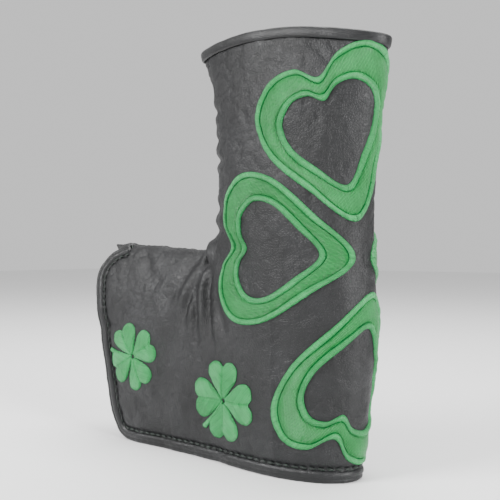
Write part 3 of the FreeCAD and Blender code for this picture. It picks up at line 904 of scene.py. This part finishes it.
def band(name, outer, inner, sections, material, nodes, grain=None):
    # closed strips of thread between two outlines; a section is rows of (share, distance, height)
    width = np.linalg.norm(inner - outer, axis=1)
    run = np.concatenate([[0], np.cumsum(np.linalg.norm(np.diff(outer, axis=0), axis=1))])
    verts, faces, uv = [], [], []
    base, n = 0, len(outer)
    for rows in sections:
        m = len(rows)
        flat = np.zeros((n, m, 2))
        lift = np.zeros((n, m))
        mark = np.zeros((n, m, 2))
        for k, (share, distance, height) in enumerate(rows):
            reach = np.clip(share * width + distance, 0, width)
            flat[:, k] = outer + (inner - outer) * (reach / width)[:, None]
            lift[:, k] = height
            mark[:, k] = np.stack([run, reach], 1) if grain is None else flat[:, k] @ grain
        verts.append(on_leg(flat[..., 0].ravel(), flat[..., 1].ravel(), lift.ravel()))
        uv.append(mark.reshape(-1, 2))
        i, k = np.meshgrid(np.arange(n), np.arange(m), indexing="ij")
        j, q = (i + 1) % n, (k + 1) % m
        faces.append(base + np.stack([i * m + k, i * m + q, j * m + q, j * m + k], 2).reshape(-1, 4))
        base += n * m
    verts, faces, uv = (np.concatenate(rows) for rows in (verts, faces, uv))
    obj = outward(new_object(name, verts, faces, [material], uv))
    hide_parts(*nodes)
    return obj


CORD = [(0.0, -0.7), (0.1, 0.55), (0.6, 1.2), (1.5, 1.5), (2.4, 1.2), (2.9, 0.55), (3.0, -0.7)]
PILE = [(0, 2.5, -0.7), (0, 3.15, 0.2), (0, 3.8, 0.8), (0.3, 1.6, 1.05), (0.5, 0, 1.12), (0.7, -1.6, 1.05),
        (1, -3.8, 0.8), (1, -3.15, 0.2), (1, -2.5, -0.7)]
petals = (
    ("upper_heart", (8, 115), (29, 178), 34, 20.0),
    ("front_heart", (9, 99), (73, 104), 35, 100.0),
    ("lower_heart", (-1, 84), (15, 20), 33, 30.0),
    ("rear_heart", (0, 99), (-60, 98), 32, 100.0),
)
for name, tip, notch, half_width, lay in petals:
    tip, notch = np.array(tip, float), np.array(notch, float)
    outer = heart(tip, notch, half_width, PETAL_POINTS)
    inner = heart(tip + (notch - tip) * 0.25, tip + (notch - tip) * 0.83, half_width - 13, PETAL_POINTS)
    turn = math.radians(lay)
    grain = np.array(((math.cos(turn), math.sin(turn)), (-math.sin(turn), math.cos(turn))))
    fill = band(name + "_thread_fill", outer, inner, [PILE], FILL,
                [name + "_fill"], grain)
    borders = [[(0, d, h) for d, h in CORD], [(1, d - 3.0, h) for d, h in CORD]]
    extra = ["rear_heart_tip"] if name == "rear_heart" else []
    edge = band(name + "_satin_edging", outer, inner, borders, SATIN,
                [name + "_edging"] + extra)
    for piece in (fill, edge):
        if name == "rear_heart":
            bend_at_fold(piece)
        else:
            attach(piece, "root")


def leaf_mesh(tip, notch, half_width, rings=9, count=72):
    outline = heart(tip, notch, half_width, count)
    tip, notch = np.asarray(tip, float), np.asarray(notch, float)
    axis = (notch - tip) / np.linalg.norm(notch - tip)
    wide = np.array((-axis[1], axis[0]))
    middle = tip + (notch - tip) * 0.62
    scale = np.append(np.linspace(0, 1, rings), 1.0)
    flat = middle + (outline - middle)[None] * scale[:, None, None]
    flat = flat.reshape(-1, 2)
    side_at = (flat - tip) @ wide
    rise = np.repeat(0.35 + 1.15 * np.sqrt(np.clip(1 - scale ** 3, 0, 1)), count)
    rise -= 0.55 * np.exp(-(side_at / 0.55) ** 2)
    rise[-count:] = -0.6
    points = np.stack([flat[:, 0], np.full(len(flat), -40.0), flat[:, 1]], 1)
    verts = cast(points, np.broadcast_to((0.0, -1.0, 0.0), points.shape), rise)
    uv = np.stack([(flat - tip) @ axis - np.abs(side_at) * 0.8, np.abs(side_at)], 1)
    i, k = np.meshgrid(np.arange(rings), np.arange(count), indexing="ij")
    q = (k + 1) % count
    faces = np.stack([i * count + k, i * count + q, (i + 1) * count + q, (i + 1) * count + k], 2)
    faces = faces.reshape(-1, 4)[count:].tolist()
    inner = [count + c for c in range(count)]
    verts[0] = verts[inner].mean(0) * 0.5 + verts[0] * 0.5
    faces += [[0, count + c, count + (c + 1) % count] for c in range(count)]
    faces.append([rings * count + c for c in range(count)])
    used = np.unique(np.concatenate([np.array(f) for f in faces]))
    slot = np.zeros(len(verts), int)
    slot[used] = np.arange(len(used))
    return verts[used], [[int(slot[v]) for v in f] for f in faces], uv[used]


def clover(name, centre, turn, stem_turn, reach, node):
    centre = np.array(centre, float)
    verts, faces, uv, base = [], [], [], 0
    for quarter in range(4):
        a = math.radians(turn + 90 * quarter)
        d = np.array((math.cos(a), math.sin(a)))
        v, f, t = leaf_mesh(centre + d * 0.8, centre + d * 0.86 * reach, 0.5 * reach)
        verts.append(v)
        uv.append(t)
        faces += [[base + i for i in face] for face in f]
        base += len(v)
    a = math.radians(stem_turn)
    d = np.array((math.cos(a), math.sin(a)))
    w = np.array((-d[1], d[0]))
    rows, across = 14, ((-1.0, -0.6), (-0.8, 0.6), (0.0, 1.1), (0.8, 0.6), (1.0, -0.6))
    flat, lift, mark = [], [], []
    for i in range(rows):
        t = i / (rows - 1)
        size = 0.75 + 0.75 * t * t
        spot = centre + d * (0.6 + t * reach * 0.98) + w * (1.6 * math.sin(t * 1.7))
        for k, h in across:
            flat.append(spot + w * k * size)
            lift.append(h)
            mark.append((t * reach, k))
    flat, m = np.array(flat), len(across)
    points = np.stack([flat[:, 0], np.full(len(flat), -40.0), flat[:, 1]], 1)
    verts.append(cast(points, np.broadcast_to((0.0, -1.0, 0.0), points.shape), lift))
    uv.append(np.array(mark))
    for i in range(rows - 1):
        for k in range(m):
            q = (k + 1) % m
            faces.append([base + i * m + k, base + i * m + q, base + (i + 1) * m + q, base + (i + 1) * m + k])
    faces += [[base + k for k in range(m)][::-1], [base + (rows - 1) * m + k for k in range(m)]]
    obj = outward(new_object(name, np.concatenate(verts), faces, [SATIN], np.concatenate(uv)))
    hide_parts(node)
    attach(obj, "root")


clover("toe_clover_embroidery", (-89.0, 46.0), 30, 168, 17.5, "toe_clover")
clover("middle_clover_embroidery", (-24.0, 31.0), 0, 222, 19.0, "middle_clover")

# ------------------------------------------------------------------ pieces kept from the CAD
for name, material in (("loop_strip", TAPE), ("hook_strip", TAPE), ("closure_tab", GRAINED),
                       ("sole_board", PLUSH), ("sole_lining", PLUSH), ("flap_edge_stitches", SEWING)):
    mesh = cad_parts[name].data
    mesh.materials.clear()
    mesh.materials.append(material)

# ------------------------------------------------------------------ camera, light and floor
VIEW_ANGLE = math.radians(38.3)
VIEW_SHIFT, VIEW_REACH, VIEW_HEIGHT = -19, 353.7, 102.5
SENSOR = 36
LENS = 742.9 / 500 * SENSOR
eye = np.array((VIEW_SHIFT * math.cos(VIEW_ANGLE) + VIEW_REACH * math.sin(VIEW_ANGLE),
                VIEW_SHIFT * math.sin(VIEW_ANGLE) - VIEW_REACH * math.cos(VIEW_ANGLE), VIEW_HEIGHT))
camera_data = bpy.data.cameras.new("camera")
camera_data.sensor_width = SENSOR
camera_data.lens = LENS
camera_data.clip_start = 0.01
camera = bpy.data.objects.new("camera", camera_data)
camera.location = (eye + (LEG_X, LEG_Y, 0)) * 0.001
camera.rotation_euler = (math.pi / 2, 0, VIEW_ANGLE)
bpy.context.scene.collection.objects.link(camera)
bpy.context.scene.camera = camera

floor = new_object("floor", [(-3000, -3000, 0), (3000, -3000, 0), (3000, 3000, 0), (-3000, 3000, 0)],
                   [(0, 1, 2, 3)], [])
white, _, white_shader, *_ = node_kit("pale_floor")
white_shader.inputs["Base Color"].default_value = (0.86, 0.86, 0.86, 1)
white_shader.inputs["Roughness"].default_value = 0.9
floor.data.materials.append(white)

world = bpy.data.worlds.new("studio")
bpy.context.scene.world = world
world.use_nodes = True
world.node_tree.nodes["Background"].inputs[0].default_value = (1, 1, 1, 1)
world.node_tree.nodes["Background"].inputs[1].default_value = 0.8


def soft_light(name, place, target, size, power):
    data = bpy.data.lights.new(name, "AREA")
    data.shape = "RECTANGLE"
    data.size, data.size_y = size
    data.energy = power
    obj = bpy.data.objects.new(name, data)
    obj.location = place
    obj.rotation_euler = (Vector(target) - Vector(place)).to_track_quat("-Z", "Y").to_euler()
    bpy.context.scene.collection.objects.link(obj)


soft_light("key", (-0.35, -0.75, 0.65), (0, 0, 0.1), (0.4, 0.6), 16.0)
soft_light("side", (0.85, -0.15, 0.35), (0.02, 0, 0.1), (0.25, 0.7), 11.0)
soft_light("top", (0.0, 0.25, 0.95), (0, 0, 0.1), (0.7, 0.5), 10.0)
